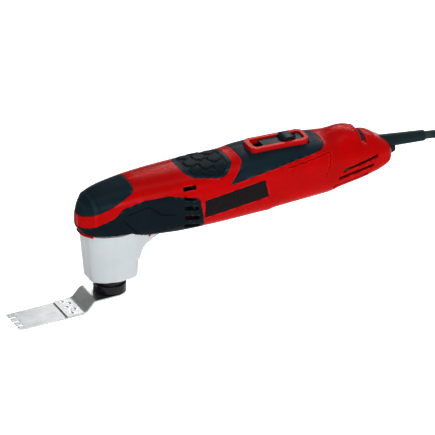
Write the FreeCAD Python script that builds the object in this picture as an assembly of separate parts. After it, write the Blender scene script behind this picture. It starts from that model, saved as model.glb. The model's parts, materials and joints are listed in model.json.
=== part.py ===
import FreeCAD, Part
import math
import os

# Corded oscillating multi tool with an offset flush-cut blade.
# Millimetres. The origin is on the output spindle's axis, in the plane the blade is clamped to.
# +X runs back along the body to the cord, +Z is up, and -Y is the left side of the tool.

# ---- driving dimensions -------------------------------------------------------------------

MOTOR_Z = 74.5            # height of the motor axis, which runs along X
SWING_DEG = 1.6           # the blade swings this far each way
FORK_X = 29.0             # where the eccentric drives the fork
ECCENTRIC = FORK_X * math.tan(math.radians(SWING_DEG))
FIT = 0.05                # radial running clearance of shafts and bearings

WALL = 3.8                # from the outside of the body to its cavity, covers included
PAD_THICKNESS = 1.8       # soft grip moulded over the housing
COVER_THICKNESS = 2.0     # hard side covers of the head

# Sections across the body: place along X, half width, bottom, top, squareness of the corners.
BODY_SECTIONS = [
    (-36.0, 17.0, 62.5, 98.0, 2.8),
    (-20.0, 20.5, 61.0, 101.0, 2.9),
    (0.0, 22.5, 59.0, 102.0, 2.9),
    (20.0, 24.0, 55.5, 102.2, 2.9),
    (40.0, 25.6, 51.8, 102.3, 3.0),
    (60.0, 27.0, 48.4, 102.4, 3.1),
    (80.0, 28.0, 47.0, 102.4, 3.1),
    (120.0, 28.2, 46.7, 102.4, 3.1),
    (150.0, 28.0, 48.0, 101.6, 3.1),
    (180.0, 27.3, 49.0, 99.3, 3.1),
    (205.0, 25.8, 51.3, 95.5, 3.0),
    (230.0, 23.0, 54.5, 89.5, 2.9),
    (247.0, 19.8, 58.0, 84.5, 2.8),
    (258.0, 15.5, 61.5, 80.5, 2.7),
]
# The hump in front of the speed dial, in the same terms.
HUMP_SECTIONS = [
    (196.0, 19.0, 74.0, 95.5, 2.6),
    (208.0, 18.0, 74.0, 99.0, 2.6),
    (219.0, 17.0, 74.0, 100.6, 2.6),
    (229.5, 15.5, 74.0, 98.2, 2.6),
]

BLADE_WIDTH = 28.0
BLADE_DROP = 8.5          # offset between the clamped root and the cutting end
CARRIER_THICKNESS = 1.2
SAW_THICKNESS = 0.9
BLADE_TIP_X = -90.0
FLOOR_Z = -(BLADE_DROP + CARRIER_THICKNESS + SAW_THICKNESS)

FLANGE_R = 14.0
HEAD_BOTTOM_Z = 14.4
HEAD_SPLIT_Z = 64.0       # the white gear head ends here inside the covers

SWITCH_TILT_DEG = 3.0     # the switch follows the falling top of the body
SWITCH_PIVOT = FreeCAD.Vector(155.0, 0.0, 103.0)

DIAL_X = 232.2
DIAL_Z = 81.5
DIAL_R = 12.0
DIAL_THICKNESS = 4.2

BOOT_ROOT = FreeCAD.Vector(246.0, 0.0, 78.0)
BOOT_END = FreeCAD.Vector(296.0, 0.0, 72.2)
CORD_D = 7.0
CORD_FLOOR_Z = FLOOR_Z + CORD_D / 2.0

LEAD_SLOPE = (BOOT_ROOT.z - BOOT_END.z) / (BOOT_END.x - BOOT_ROOT.x)

# Route of the free lead from the strain relief down to the hank, on the surface at FLOOR_Z.
LEAD_ROUTE = [
    (296.0, 0.0, 72.2),
    (312.0, 0.0, 72.2 - 16.0 * LEAD_SLOPE),
    (332.0, 1.5, 62.6),
    (349.0, 4.5, 48.5),
    (363.0, 8.5, 33.0),
    (379.0, 14.0, 17.5),
    (398.0, 20.5, 4.2),
    (421.0, 26.0, -4.4),
    (447.0, 28.0, CORD_FLOOR_Z),
]
# The rest is folded into an oval hank in line with the tool, two turns wide and four high.
HANK_X0 = 420.0
HANK_RUN = 45.0           # straight part of each side
HANK_INNER_R = 3.0 * CORD_D
HANK_COLUMNS = 2
HANK_LAYERS = 4
# Route of the last stretch, from the top outer turn of the hank to the plug.
PLUG_CORD_Z = FLOOR_Z + 8.5
TAIL_ROUTE = [
    (451.5, -28.0, CORD_FLOOR_Z + 3.0 * CORD_D),
    (439.0, -28.4, CORD_FLOOR_Z + 2.9 * CORD_D),
    (425.0, -28.6, CORD_FLOOR_Z + 2.2 * CORD_D),
    (411.0, -28.5, CORD_FLOOR_Z + 1.2 * CORD_D),
    (397.0, -28.2, PLUG_CORD_Z),
    (383.0, -27.8, PLUG_CORD_Z),
]

V = FreeCAD.Vector
X_AXIS = V(1, 0, 0)
Y_AXIS = V(0, 1, 0)
Z_AXIS = V(0, 0, 1)


# ---- plain building blocks ----------------------------------------------------------------

def box(x0, x1, y0, y1, z0, z1):
    return Part.makeBox(x1 - x0, y1 - y0, z1 - z0, V(x0, y0, z0))


def rod_x(x0, x1, r, y=0.0, z=MOTOR_Z):
    return Part.makeCylinder(r, x1 - x0, V(x0, y, z), X_AXIS)


def rod_y(y0, y1, r, x, z):
    return Part.makeCylinder(r, y1 - y0, V(x, y0, z), Y_AXIS)


def rod_z(z0, z1, r, x=0.0, y=0.0):
    return Part.makeCylinder(r, z1 - z0, V(x, y, z0), Z_AXIS)


def ring_x(x0, x1, outer_r, inner_r, y=0.0):
    return rod_x(x0, x1, outer_r, y).cut(rod_x(x0 - 1, x1 + 1, inner_r, y))


def ring_z(z0, z1, outer_r, inner_r):
    return rod_z(z0, z1, outer_r).cut(rod_z(z0 - 1, z1 + 1, inner_r))


def prism(points, direction):
    """A solid from a closed outline of points, pushed along direction."""
    wire = Part.makePolygon(points + [points[0]])
    return Part.Face(wire).extrude(direction)


def side_prism(outline, y0, y1):
    """A prism across the tool from an (X, Z) outline seen from the side."""
    return prism([V(x, y0, z) for x, z in outline], V(0, y1 - y0, 0))


def plan_prism(outline, z0, z1):
    """An upright prism from an (X, Y) outline seen from above."""
    return prism([V(x, y, z0) for x, y in outline], V(0, 0, z1 - z0))


def stadium(x0, x1, half_width, corner_r, z0, z1):
    """An upright block with four rounded corners."""
    block = box(x0, x1, -half_width, half_width, z0, z1)
    upright = [e for e in block.Edges if abs(e.tangentAt(e.FirstParameter).z) > 0.9]
    return block.makeFillet(corner_r, upright)


def mirrored(shape):
    return shape.mirror(V(0, 0, 0), Y_AXIS)


def fuse_all(shapes):
    result = shapes[0]
    for shape in shapes[1:]:
        result = result.fuse(shape)
    return result.removeSplitter()


def cut_all(shape, tools):
    for tool in tools:
        shape = shape.cut(tool)
    return shape


def along(start, end, r0, r1):
    """A round bar from start to end, tapering from radius r0 to r1."""
    axis = end - start
    if abs(r0 - r1) < 1e-6:
        return Part.makeCylinder(r0, axis.Length, start, axis)
    return Part.makeCone(r0, r1, axis.Length, start, axis)


def tilted(shape):
    """Turns a switch piece, drawn level, to follow the top of the body."""
    result = shape.copy()
    result.rotate(SWITCH_PIVOT, Y_AXIS, SWITCH_TILT_DEG)
    return result


def save(name, shape):
    """Writes one piece, or a group of identical ones, as a STEP file."""
    solids = shape.Solids
    result = solids[0] if len(solids) == 1 else Part.makeCompound(solids)
    result.exportStep("parts/" + name + ".step")
    print(name, len(solids), "solid(s)", round(shape.Volume / 1000.0, 2), "cm3")


# ---- the body's outer form ----------------------------------------------------------------

def half_section(x, half_width, bottom, top, power):
    """The left half of one rounded-square section, closed along the middle plane."""
    middle = (top + bottom) / 2.0
    rise = (top - bottom) / 2.0
    count = 18
    points = []
    for i in range(count + 1):
        angle = math.pi * i / count - math.pi / 2.0
        c = max(math.cos(angle), 0.0)
        s = math.sin(angle)
        y = -half_width * c ** (2.0 / power)
        z = middle + rise * math.copysign(abs(s) ** (2.0 / power), s)
        points.append(V(x, y, z))
    points[0].y = 0.0
    points[-1].y = 0.0
    curve = Part.BSplineCurve()
    curve.interpolate(Points=points, InitialTangent=V(0, -1, 0), FinalTangent=V(0, 1, 0))
    edges = [curve.toShape(), Part.makeLine(points[-1], points[0])]
    return Part.Wire(edges)


def half_loft(sections, inset, from_x, to_x):
    """The left half of a form through sections, made smaller all round by inset."""
    wires = [
        half_section(x, width - inset, bottom + inset, top - inset, power)
        for x, width, bottom, top, power in sections
    ]
    solid = Part.makeLoft(wires, True, False)
    return solid.common(box(from_x, to_x, -60, 0, 30, 120))


def nose_cut(inset):
    """The faceted front of the head: a falling brow, and three faces in plan on each side."""
    side = [
        (-31.5 + inset, 69.0),
        (-31.5 + inset, 80.5),
        (-26.5 + inset, 90.5),
        (-20.0 + 0.6 * inset, 95.2 - inset),
        (-8.0, 99.0 - inset),
        (12.0, 101.5 - inset),
        (40.0, 103.5 - inset),
        (300.0, 103.5),
        (300.0, 30.0),
        (-26.5 + inset, 30.0),
        (-26.5 + inset, 60.0),
    ]
    plan = [
        (-31.5 + inset, 0.0),
        (-29.6 + inset, -5.5),
        (-24.0 + inset, -14.5),
        (-19.5 + inset, -18.5),
        (-13.0 + inset, -21.2),
        (0.0 + inset, -23.5),
        (0.0 + inset, -60.0),
        (300.0, -60.0),
        (300.0, 0.0),
    ]
    return side_prism(side, -60, 0).common(plan_prism(plan, 20, 130))


def half_body(inset):
    """The left half of the whole body with its hump, made smaller all round by inset."""
    main = half_loft(BODY_SECTIONS, inset, -40.0 + inset, 258.0 - inset)
    hump = half_loft(HUMP_SECTIONS, inset, 196.0 + inset, 229.5 - inset)
    return main.common(nose_cut(inset)).fuse(hump)


OUTER = half_body(0.0)
PAD_SEAT = half_body(PAD_THICKNESS)
COVER_SEAT = half_body(COVER_THICKNESS)
LABEL_SEAT = half_body(0.8)
CAVITY = half_body(WALL)


def skin_piece(outline, seat, y_to=0.0):
    """A piece of the outer layer inside an outline seen from the side, down to its seat."""
    block = side_prism(outline, -60.0, y_to)
    return OUTER.common(block).cut(seat)


def whole(half):
    return half.fuse(mirrored(half)).removeSplitter()


# Side outlines of the pieces that show, as (X, Z).
SIDE_COVER = [
    (-40.0, 30.0),
    (-40.0, 69.4),
    (-27.0, 69.4),
    (-4.0, 80.0),
    (2.5, 87.0),
    (21.0, 90.3),
    (43.7, 90.2),
    (51.0, 88.0),
    (71.0, 82.6),
    (77.0, 49.2),
    (77.4, 30.0),
]
NOSE_PAD = [
    (-40.0, 80.5),
    (-28.0, 80.5),
    (-2.0, 91.0),
    (9.0, 94.6),
    (17.0, 97.5),
    (20.0, 100.5),
    (20.5, 120.0),
    (-40.0, 120.0),
]
FRONT_PAD = [
    (62.0, 120.0),
    (62.0, 101.0),
    (69.0, 96.5),
    (93.0, 91.6),
    (97.0, 92.4),
    (109.0, 101.4),
    (109.0, 120.0),
]
REAR_PAD = [
    (117.5, 120.0),
    (117.5, 101.4),
    (101.0, 89.0),
    (102.0, 87.4),
    (134.0, 91.2),
    (159.0, 93.6),
    (190.0, 95.2),
    (197.0, 97.5),
    (197.0, 120.0),
]
LABEL = [(76.0, 62.4), (75.8, 78.9), (131.9, 84.8), (135.2, 68.4)]

SIDE_SLOTS = [
    [(57.5, 85.0), (57.5, 87.0), (67.0, 84.5), (67.5, 82.6)],
    [(57.5, 75.4), (57.5, 78.0), (69.5, 75.0), (69.8, 72.4)],
    [(57.5, 66.0), (57.5, 68.6), (71.0, 65.6), (71.3, 63.0)],
    [(57.5, 56.6), (57.5, 59.2), (72.5, 56.2), (72.8, 53.6)],
]
TOP_SLOT = [(56.5, 89.6), (57.5, 92.2), (69.5, 92.0), (68.5, 89.4)]
REAR_VENTS = [
    [(206.5, 71.4), (207.0, 74.2), (242.0, 78.0), (241.5, 75.2)],
    [(202.0, 65.2), (202.5, 68.0), (237.5, 70.8), (237.0, 68.0)],
    [(197.5, 57.8), (198.0, 60.6), (232.0, 63.6), (231.5, 60.8)],
]
SCREW_SITES = [
    (53.2, 57.5), (76.0, 57.5), (76.0, 94.5), (145.0, 54.5), (172.0, 55.5), (208.0, 58.5), (247.5, 67.0),
]


# ---- housing, covers and grips ------------------------------------------------------------

def bearing_rib(x0, x1, bore_r, top=120.0):
    """A wall across the left half of the cavity with a seat for a round part."""
    slab = CAVITY.common(box(x0, x1, -60, 0, 30, top))
    return slab.cut(rod_x(x0 - 1, x1 + 1, bore_r))


def screw_boss(x, z):
    return CAVITY.common(rod_y(-60, 0, 3.6, x, z))


def housing_half():
    """The left shell, before the holes that only one side has."""
    shell = OUTER.cut(CAVITY)
    ribs = [
        bearing_rib(90.0, 93.0, 24.0),
        bearing_rib(118.0, 121.0, 24.0),
        bearing_rib(157.5, 164.5, 11.5, 87.0),
    ]
    bosses = [screw_boss(x, z) for x, z in SCREW_SITES]
    shell = fuse_all([shell] + ribs + bosses)
    holes = [
        side_prism(SIDE_COVER, -60, 1).common(OUTER.cut(COVER_SEAT)),
        OUTER.common(side_prism(NOSE_PAD, -60, 0)).cut(PAD_SEAT),
        OUTER.common(side_prism(FRONT_PAD, -60, 0)).cut(PAD_SEAT),
        OUTER.common(side_prism(REAR_PAD, -60, 0)).cut(PAD_SEAT),
        OUTER.common(side_prism(LABEL, -60, 0)).cut(LABEL_SEAT),
        side_prism(TOP_SLOT, -60, -12),
        tilted(box(141, 176, -5.0, 5.0, 90, 104)),
        box(DIAL_X - 2.7, DIAL_X + 2.7, -13, 13, 76, 110),
        along(BOOT_ROOT, BOOT_END, 6.4, 6.4),
        gear_head_envelope(0.3),
        gear_head_web(0.3),
    ]
    holes += [side_prism(slot, -60, -12) for slot in SIDE_SLOTS]
    holes += [side_prism(vent, -60, -10) for vent in REAR_VENTS]
    return cut_all(shell, holes)


def housing_shells():
    half = housing_half()
    pilots = [rod_y(-15.0, 1.0, 1.7, x, z) for x, z in SCREW_SITES]
    left = cut_all(half, pilots)
    through = [rod_y(-1.0, 60.0, 2.1, x, z) for x, z in SCREW_SITES]
    heads = [rod_y(14.0, 60.0, 3.9, x, z) for x, z in SCREW_SITES]
    right = cut_all(mirrored(half), through + heads)
    save("housing_left", largest(left))
    save("housing_right", largest(right))


def largest(shape):
    return max(shape.Solids, key=lambda solid: solid.Volume)


def housing_screws():
    screws = []
    for x, z in SCREW_SITES:
        shank = rod_y(-14.0, 11.9, 1.6, x, z)
        head = rod_y(11.5, 14.0, 3.5, x, z)
        drive = rod_y(12.6, 15.0, 1.3, x, z)
        screws.append(shank.fuse(head).cut(drive))
    save("housing_screws", Part.makeCompound(screws))


def side_covers():
    cover = skin_piece(SIDE_COVER, COVER_SEAT)
    slots = [side_prism(slot, -60, -12) for slot in SIDE_SLOTS]
    left = largest(cut_all(cover, slots + [gear_head_envelope(0.3), gear_head_web(0.3)]))
    save("side_cover_left", left)
    save("side_cover_right", mirrored(left))


def grips():
    save("nose_pad", whole(skin_piece(NOSE_PAD, PAD_SEAT)))
    save("front_grip_pad", whole(skin_piece(FRONT_PAD, PAD_SEAT)))
    rear = whole(skin_piece(REAR_PAD, PAD_SEAT)).cut(tilted(stadium(126.5, 184.5, 11.0, 7.0, 60, 130)))
    save("rear_grip_pad", largest(rear))


def labels():
    left = skin_piece(LABEL, LABEL_SEAT)
    save("label_panel_left", left)
    save("label_panel_right", mirrored(left))


# ---- gear head ----------------------------------------------------------------------------

HEAD_SCREW_SEAT_Z = 88.5
HEAD_SCREW_SITES = [(-17.4, -6.0), (-17.4, 6.0), (37.0, -12.5), (37.0, 12.5)]


def plan_curve(half_points, z):
    """A closed plan outline: straight front facet, then a smooth curve round the back."""
    left = [V(x, -y, z) for x, y in half_points]
    right = [V(x, y, z) for x, y in reversed(half_points)]
    curve = Part.BSplineCurve()
    curve.interpolate(Points=left + right)
    front = Part.makeLine(right[-1], left[0])
    return Part.Wire([curve.toShape(), front])


def gear_head_envelope(grow):
    """The outside of the white head casting, from its bottom plane up into the covers."""
    low = [(-20.4, 8.0), (-14.2, 13.3), (-5.9, 16.2), (7.3, 17.4), (16.8, 16.0), (22.4, 8.0)]
    high = [(-24.6, 8.5), (-17.4, 16.4), (-7.0, 20.8), (8.0, 22.0), (19.0, 19.0), (25.0, 9.0)]
    low = [(x * (1 + grow / 20.0), y + grow) for x, y in low]
    high = [(x * (1 + grow / 20.0), y + grow) for x, y in high]
    wires = [plan_curve(low, HEAD_BOTTOM_Z), plan_curve(high, 60.0)]
    lower = Part.makeLoft(wires, True, False)
    narrow = [(x, min(y, 17.0 + grow)) for x, y in high]
    collar = [(x * 0.93, y * 0.9) for x, y in narrow]
    wires = [plan_curve(collar, 59.0), plan_curve(collar, HEAD_SPLIT_Z)]
    return lower.fuse(Part.makeLoft(wires, True, False))


def gear_head_web(grow):
    """The web that sweeps back from the head under the belly of the body."""
    low = V(21.0, 0, 33.0 - grow)
    middle = V(27.0, 0, 46.0 - grow)
    tip = V(48.0, 0, 50.3 - grow)
    sweep = Part.Arc(low, middle, tip).toShape()
    top = [
        V(48.0, 0, 52.0),
        V(41.5, 0, 56.0),
        V(39.8, 0, 58.5),
        V(39.8, 0, HEAD_SPLIT_Z),
        V(16.0, 0, HEAD_SPLIT_Z),
        V(16.0, 0, 33.0),
    ]
    straight = Part.makePolygon([tip] + top + [low])
    face = Part.Face(Part.Wire([sweep] + straight.Edges))
    half_width = 17.5 + grow
    face.translate(V(0, -half_width, 0))
    web = face.extrude(V(0, 2 * half_width, 0))
    tip_x = 48.5 + grow
    plan = [
        (10, -half_width),
        (30, -half_width),
        (tip_x, -11),
        (tip_x, 11),
        (30, half_width),
        (10, half_width),
    ]
    return web.common(plan_prism(plan, 20, 80))


def gear_head():
    solid = gear_head_envelope(0.0).fuse(gear_head_web(0.0))
    bore = [
        rod_z(10.0, 23.0, 10.5),
        rod_z(22.0, 31.0, 14.0),
        rod_z(31.0, HEAD_SPLIT_Z + 1.0, 13.0),
        box(-14.0, 14.0, -13.5, 13.5, 50.0, HEAD_SPLIT_Z + 1.0),
    ]
    bore += [rod_z(51.0, HEAD_SPLIT_Z + 1.0, 1.6, x, y) for x, y in HEAD_SCREW_SITES]
    head = cut_all(solid, bore).removeSplitter()
    lowest = [e for e in head.Edges if abs(e.BoundBox.ZMax - HEAD_BOTTOM_Z) < 1e-4]
    edges = [e for e in lowest if e.BoundBox.XLength > 25]
    save("gear_head", head.makeChamfer(1.0, edges))


def gear_case():
    """The upper casting inside the covers, with the seat of the upper spindle bearing."""
    x0, x1, half_width = -20.5, 40.0, 17.8
    block = box(x0, x1, -half_width, half_width, HEAD_SPLIT_Z, 95.5)
    upright = [e for e in block.Edges if abs(e.tangentAt(e.FirstParameter).z) > 0.9]
    block = block.makeFillet(6.0, upright)
    inside = box(x0 + 6.0, x1 - 6.0, -14.8, 14.8, HEAD_SPLIT_Z - 1.0, 84.0)
    seat = rod_z(83.0, 92.0, 11.0)
    shaft_way = rod_x(30.0, 41.0, 10.0)
    case = cut_all(block, [inside, seat, shaft_way])
    case = case.common(whole_cavity())
    for x, y in HEAD_SCREW_SITES:
        case = case.cut(rod_z(60.0, 100.0, 1.6, x, y)).cut(rod_z(HEAD_SCREW_SEAT_Z, 100.0, 3.0, x, y))
    save("gear_case", largest(case))


def whole_cavity():
    return CAVITY.fuse(mirrored(CAVITY)).removeSplitter()


def head_screws():
    seat = HEAD_SCREW_SEAT_Z
    screws = []
    for x, y in HEAD_SCREW_SITES:
        screws.append(rod_z(51.5, seat + 0.5, 1.5, x, y).fuse(rod_z(seat, seat + 2.3, 2.8, x, y)))
    save("head_screws", Part.makeCompound(screws))


# ---- spindle, fork and blade --------------------------------------------------------------

def spindle_parts():
    shaft = fuse_all([
        rod_z(1.5, 22.0, 8.0),
        rod_z(22.0, 83.0, 6.0),
        rod_z(83.0, 91.5, 4.0),
    ])
    shaft = shaft.cut(rod_z(-1.0, 16.0, 2.5))
    save("output_spindle", shaft)

    flange = rod_z(0.0, 14.0, FLANGE_R).cut(rod_z(1.5, 15.0, 8.0))
    flange = flange.cut(rod_z(-1.0, 2.0, 3.0))
    rim = [e for e in flange.Edges if abs(e.Length - 2 * math.pi * FLANGE_R) < 0.01]
    save("tool_flange", flange.makeFillet(1.0, rim))

    save("spindle_seal", ring_z(16.0, 21.5, 10.5, 8.0 + FIT))
    save("spindle_bearing_lower", ring_z(22.0, 30.0, 14.0 - 0.02, 6.0 + 0.02))
    save("spindle_bearing_upper", ring_z(84.5, 91.0, 11.0 - 0.02, 4.0 + 0.02))
    clip = ring_z(31.0, 32.2, 8.2, 6.0).cut(box(4.0, 12.0, -1.5, 1.5, 30.0, 33.0))
    save("retaining_ring", clip)


def swing_fork():
    """The lever that turns the eccentric's circling into the spindle's swing."""
    hub = rod_z(66.0, 81.0, 10.0)
    prong_in = 8.0 + 2.0 * ECCENTRIC + 0.5
    prong_out = prong_in + 2.6
    one_side = [(0.0, 9.5), (8.0, 9.8), (18.0, prong_out), (32.4, prong_out)]
    other_side = [(x, -y) for x, y in reversed(one_side)]
    arm = plan_prism(one_side + other_side, 68.5, 80.5)
    mouth = box(18.5, 40.0, -prong_in, prong_in, 60.0, 90.0)
    fork = fuse_all([hub, arm]).cut(mouth).cut(rod_z(60.0, 90.0, 6.0))
    save("swing_fork", fork)


def blade():
    """Offset carrier with two bends, and the toothed plate spot-welded under it."""
    half = BLADE_WIDTH / 2.0
    t = CARRIER_THICKNESS
    bend_top_x, bend_low_x, front_x = -21.0, -28.7, -46.0
    profile = [
        (15.0, 0.0), (bend_top_x, 0.0), (bend_low_x, -BLADE_DROP), (front_x, -BLADE_DROP),
        (front_x, -BLADE_DROP - t), (bend_low_x - 0.6, -BLADE_DROP - t), (bend_top_x - 0.6, -t), (15.0, -t),
    ]
    strip = side_prism(profile, -half, half)
    root = rod_z(-30, 10, half).fuse(box(-60, 0, -half, half, -30, 10))
    carrier = strip.common(root).cut(rod_z(-5, 5, 5.0))
    slots = [
        rod_z(-5, 5, 1.3, 8.6 * math.cos(math.radians(a)), 8.6 * math.sin(math.radians(a)))
        for a in range(30, 390, 60)
    ]
    save("blade_carrier", cut_all(carrier, slots))

    top = -BLADE_DROP - t
    plate = box(BLADE_TIP_X, bend_low_x - 1.5, -half, half, top - SAW_THICKNESS, top)
    teeth = []
    pitch = 1.4
    count = int(BLADE_WIDTH / pitch)
    for i in range(count):
        y = -half + i * pitch
        notch = [(BLADE_TIP_X - 1, y), (BLADE_TIP_X + 1.1, y + pitch / 2), (BLADE_TIP_X - 1, y + pitch)]
        teeth.append(plan_prism(notch, top - 5, top + 5))
    gullets = []
    for y in (-half / 2.0, 0.0, half / 2.0):
        gullets.append(box(BLADE_TIP_X - 1, BLADE_TIP_X + 4.0, y - 1.0, y + 1.0, top - 5, top + 5))
        gullets.append(rod_z(top - 5, top + 5, 1.4, BLADE_TIP_X + 4.6, y))
    save("saw_plate", cut_all(plate, teeth + gullets))


def clamp():
    t = CARRIER_THICKNESS
    washer = rod_z(-t - 1.4, -t, 10.0).cut(rod_z(-10, 1, 2.6))
    save("clamp_washer", washer)
    head = rod_z(-t - 1.4 - 3.4, -t - 1.4, 6.5)
    head = head.cut(hex_prism(5.0, -t - 8.0, -t - 1.4 - 1.0))
    shank = rod_z(-t - 2.0, 13.0, 2.5 - FIT)
    save("clamp_screw", head.fuse(shank).removeSplitter())


def hex_prism(across, z0, z1):
    r = across / math.sqrt(3.0)
    corners = [(r * math.cos(math.radians(60 * i)), r * math.sin(math.radians(60 * i))) for i in range(6)]
    return plan_prism(corners, z0, z1)


# ---- motor --------------------------------------------------------------------------------

def motor():
    shaft = fuse_all([
        rod_x(38.0, 53.0, 5.0),
        rod_x(53.0, 157.0, 5.0),
        rod_x(157.0, 165.0, 3.5),
        rod_x(25.0, 38.0, 4.0, ECCENTRIC),
    ])
    save("armature_shaft", shaft)
    save("eccentric_bearing", ring_x(FORK_X - 3.0, FORK_X + 3.0, 8.0, 4.0, ECCENTRIC))
    weight = rod_x(52.0, 57.0, 12.5).cut(rod_x(50.0, 60.0, 5.0)).cut(box(50, 60, 2.0, 20, 50, 100))
    save("balance_weight", weight)

    hub = ring_x(57.8, 71.0, 8.0, 5.0)
    disc = ring_x(68.5, 71.0, 20.5, 8.0)
    blades = []
    for i in range(12):
        vane = box(58.8, 68.5, -0.8, 0.8, MOTOR_Z + 7.5, MOTOR_Z + 20.0)
        vane.rotate(V(0, 0, MOTOR_Z), X_AXIS, 30 * i)
        blades.append(vane)
    save("cooling_fan", fuse_all([hub, disc] + blades))

    core = ring_x(87.0, 127.0, 14.6, 5.0)
    slots = []
    for i in range(12):
        slot = box(86.0, 128.0, -1.0, 1.0, MOTOR_Z + 10.0, MOTOR_Z + 16.0)
        slot.rotate(V(0, 0, MOTOR_Z), X_AXIS, 30 * i)
        slots.append(slot)
    save("armature_core", cut_all(core, slots))
    windings = [ring_x(80.0, 87.0, 13.6, 5.0), ring_x(127.0, 134.0, 13.6, 5.0)]
    save("armature_windings", Part.makeCompound(windings))

    commutator = ring_x(137.0, 151.0, 10.0, 5.0)
    grooves = []
    for i in range(16):
        groove = box(136.0, 148.0, -0.25, 0.25, MOTOR_Z + 8.8, MOTOR_Z + 11.0)
        groove.rotate(V(0, 0, MOTOR_Z), X_AXIS, 22.5 * i)
        grooves.append(groove)
    save("commutator", cut_all(commutator, grooves))

    save("front_bearing", ring_x(42.0, 50.0, 13.0, 5.0 + 0.02))
    save("rear_bearing", ring_x(158.0, 164.0, 9.5, 3.5 + 0.02))
    save("rear_bearing_sleeve", ring_x(158.0, 164.0, 11.4, 9.5))
    bracket = whole_cavity().common(rod_x(40.0, 51.0, 24.0))
    bracket = bracket.cut(rod_x(38.5, 52.0, 13.0)).cut(box(36.0, 56.0, -30, 30, 40, 59.5))
    bracket = bracket.cut(box(49.2, 56.0, -30, 30, 40, 61.4))
    save("bearing_bracket", bracket)


def stator():
    core = ring_x(85.5, 127.5, 23.9, 15.1)
    windows = [
        box(80.0, 134.0, -23.0, 23.0, MOTOR_Z - 8.0, MOTOR_Z + 8.0).cut(rod_x(79.0, 135.0, 18.5))
        .common(rod_x(79.0, 135.0, 21.0))
    ]
    core = cut_all(core, windows)
    save("stator_core", core)
    coil = ring_x(79.0, 134.0, 20.8, 18.7).common(box(78.0, 135.0, -30, 0, MOTOR_Z - 7.5, MOTOR_Z + 7.5))
    save("stator_coils", Part.makeCompound([coil, mirrored(coil)]))


def brush_gear():
    holders, brushes, springs = [], [], []
    for side in (-1.0, 1.0):
        def between(x0, x1, y0, y1, z0, z1):
            low, high = sorted((side * y0, side * y1))
            return box(x0, x1, low, high, z0, z1)
        tube = between(139.5, 148.5, 11.5, 22.0, MOTOR_Z - 4.0, MOTOR_Z + 4.0)
        bore = between(141.5, 146.5, 11.0, 20.8, MOTOR_Z - 2.5, MOTOR_Z + 2.5)
        holders.append(tube.cut(bore))
        brush = between(141.6, 146.4, 9.0, 17.0, MOTOR_Z - 2.4, MOTOR_Z + 2.4)
        brushes.append(brush.cut(rod_x(130.0, 160.0, 10.0 + FIT)))
        spring = rod_y(*sorted((side * 17.0, side * 20.8)), 1.8, 144.0, MOTOR_Z)
        springs.append(spring.cut(rod_y(-25.0, 25.0, 1.2, 144.0, MOTOR_Z)))
    save("brush_holders", Part.makeCompound(holders))
    save("carbon_brushes", Part.makeCompound(brushes))
    save("brush_springs", Part.makeCompound(springs))


# ---- switch, speed control and mains entry ------------------------------------------------

def switch_group():
    block = stadium(128.0, 183.0, 10.0, 6.0, 80.0, 104.6)
    well = stadium(132.5, 179.5, 6.6, 3.0, 70.0, 120.0)
    bezel = tilted(block.cut(well))
    under = PAD_SEAT.fuse(mirrored(PAD_SEAT))
    save("switch_bezel", largest(bezel.cut(under)))

    plate = stadium(141.0, 179.0, 6.2, 2.8, 100.9, 103.2)
    knob_profile = [
        (158.5, 103.0),
        (160.5, 106.6),
        (162.0, 107.2),
        (168.0, 107.2),
        (169.5, 106.6),
        (171.5, 103.0),
    ]
    knob = side_prism(knob_profile, -5.6, 5.6)
    stem = box(156.0, 168.0, -3.4, 3.4, 92.5, 101.0)
    rod = box(156.0, 177.0, -2.2, 2.2, 90.0, 93.0)
    save("slide_switch", tilted(fuse_all([plate, knob, stem])))
    save("switch_rod", tilted(rod.cut(box(156.0, 168.0, -3.4, 3.4, 92.5, 96.0))))

    module = box(179.0, 199.0, -8.5, 8.5, 70.0, 89.5)
    lever = box(177.6, 179.0, -3.0, 3.0, 84.0, 89.0)
    save("switch_module", module.fuse(lever).removeSplitter())


def dial_group():
    x0 = DIAL_X - DIAL_THICKNESS / 2.0
    x1 = DIAL_X + DIAL_THICKNESS / 2.0
    disc = rod_x(x0, x1, DIAL_R, 0.0, DIAL_Z)
    notches = []
    for i in range(30):
        notch = rod_x(x0 - 1, x1 + 1, 0.55, 0.0, DIAL_Z + DIAL_R + 0.1)
        notch.rotate(V(0, 0, DIAL_Z), X_AXIS, 12 * i)
        notches.append(notch)
    save("speed_dial", cut_all(disc, notches).cut(rod_x(x0 - 1, x1 + 1, 3.0, 0.0, DIAL_Z)))
    save("dial_shaft", rod_x(226.5, x1, 3.0, 0.0, DIAL_Z))
    pot = rod_x(219.0, 226.2, 8.0, 0.0, DIAL_Z).fuse(rod_x(226.0, 229.0, 4.4, 0.0, DIAL_Z))
    save("potentiometer", pot.cut(rod_x(226.3, 240.0, 3.0 + FIT, 0.0, DIAL_Z)))
    board_top = 67.0
    save("speed_board", box(202.0, 228.5, -14.0, 14.0, board_top - 1.6, board_top))
    feet = [box(221.0, 223.0, y - 0.5, y + 0.5, board_top, 73.4) for y in (-4.0, 0.0, 4.0)]
    save("control_parts", Part.makeCompound([
        box(204.0, 214.0, -12.0, -2.0, board_top, board_top + 8.0),
        box(205.0, 213.0, 2.0, 12.0, board_top, board_top + 5.5),
        box(216.0, 219.0, 6.0, 12.0, board_top, board_top + 3.5),
    ] + feet))
    save("noise_capacitor", box(177.0, 194.0, -8.0, 8.0, 53.5, 62.5))


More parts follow.
